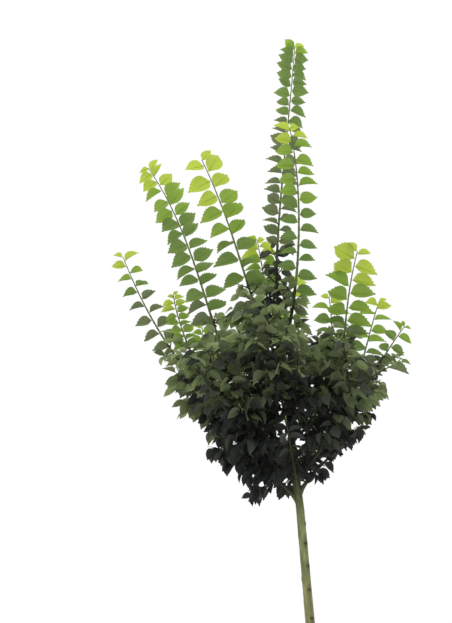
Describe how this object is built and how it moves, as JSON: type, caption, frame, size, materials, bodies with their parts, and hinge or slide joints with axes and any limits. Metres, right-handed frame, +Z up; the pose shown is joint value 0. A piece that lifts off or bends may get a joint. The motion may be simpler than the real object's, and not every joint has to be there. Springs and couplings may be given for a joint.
{
  "type": "elm tree",
  "caption": "Young nursery-grown elm on a clean stem, with a dense round crown and long leafy summer shoots standing out of it.",
  "frame": {"origin": "middle of the flat cut under the trunk, at ground level", "axes": "+Z up along the trunk, +X to the right and +Y away from the viewer of the picture"},
  "size_m": [1.1331, 0.8177, 3.9527],
  "materials": {
    "trunk_bark": "smooth young bark, olive grey-green",
    "bough_bark": "young bark, brown",
    "crown_foliage": "dark green leaves, a little glossy",
    "shoot_foliage": "bright green young leaves"
  },
  "bodies": {
    "root": {"trunk": "trunk_bark", "bough_left_low": "bough_bark", "bough_right_low": "bough_bark", "bough_front_low": "bough_bark", "bough_back_left_low": "bough_bark", "bough_back_right_low": "bough_bark", "bough_left_back_short": "bough_bark", "bough_right_tall": "bough_bark", "bough_left_front": "bough_bark", "bough_back_right": "bough_bark", "bough_left_tall_back": "bough_bark", "bough_right_outer": "bough_bark", "bough_far_left": "bough_bark", "bough_right_back_short": "bough_bark", "bough_right_front_low": "bough_bark", "bough_front_middle": "bough_bark", "bough_back_tall": "bough_bark", "bough_left_tall_front": "bough_bark", "bough_front_tall": "bough_bark", "bough_back_short": "bough_bark", "foliage_left_low": "crown_foliage", "foliage_right_low": "crown_foliage", "foliage_front_low": "crown_foliage", "foliage_back_left_low": "crown_foliage", "foliage_back_right_low": "crown_foliage", "foliage_left_back_short": "crown_foliage", "foliage_right_tall": "crown_foliage", "foliage_left_front": "crown_foliage", "foliage_back_right": "crown_foliage", "foliage_left_tall_back": "shoot_foliage", "foliage_right_outer": "crown_foliage", "foliage_far_left": "crown_foliage", "foliage_right_back_short": "crown_foliage", "foliage_right_front_low": "crown_foliage", "foliage_front_middle": "crown_foliage", "foliage_back_tall": "crown_foliage", "foliage_left_tall_front": "shoot_foliage", "foliage_front_tall": "shoot_foliage", "foliage_back_short": "crown_foliage", "foliage_leader": "shoot_foliage"}
  },
  "joints": []
}
